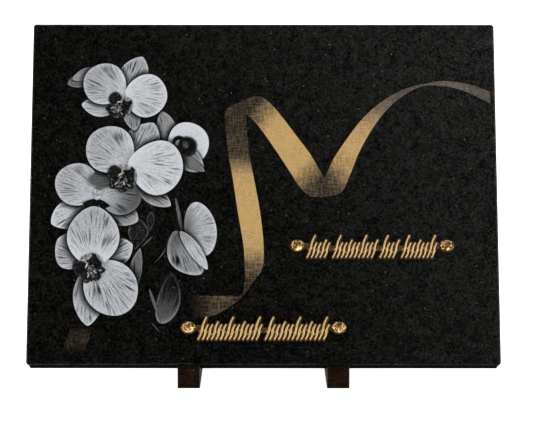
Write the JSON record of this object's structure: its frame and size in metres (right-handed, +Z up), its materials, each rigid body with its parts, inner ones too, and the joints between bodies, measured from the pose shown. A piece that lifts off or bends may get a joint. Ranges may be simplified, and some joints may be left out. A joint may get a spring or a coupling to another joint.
{
  "type": "granite memorial plaque",
  "caption": "Rectangular polished black granite plaque leaning back on granite feet, with raised bronze strips held by oval studs.",
  "frame": {"origin": "on the ground, at the middle of the plaque's width and depth", "axes": "+X to the right along the plaque's width as seen from its face, +Y to the back, +Z up"},
  "size_m": [0.4, 0.1204, 0.3024],
  "materials": {
    "black_granite": "polished, fine grain",
    "brown_granite": "polished, fine grain",
    "strip_bronze": "cast, dark patina with polished strokes",
    "stud_bronze": "polished"
  },
  "bodies": {
    "root": {"granite_slab": "black_granite", "foot_left": "brown_granite", "foot_right": "brown_granite", "inscription_upper": "strip_bronze", "inscription_lower": "strip_bronze", "stud_upper_left": "stud_bronze", "stud_upper_right": "stud_bronze", "stud_lower_left": "stud_bronze", "stud_lower_right": "stud_bronze"}
  },
  "joints": []
}
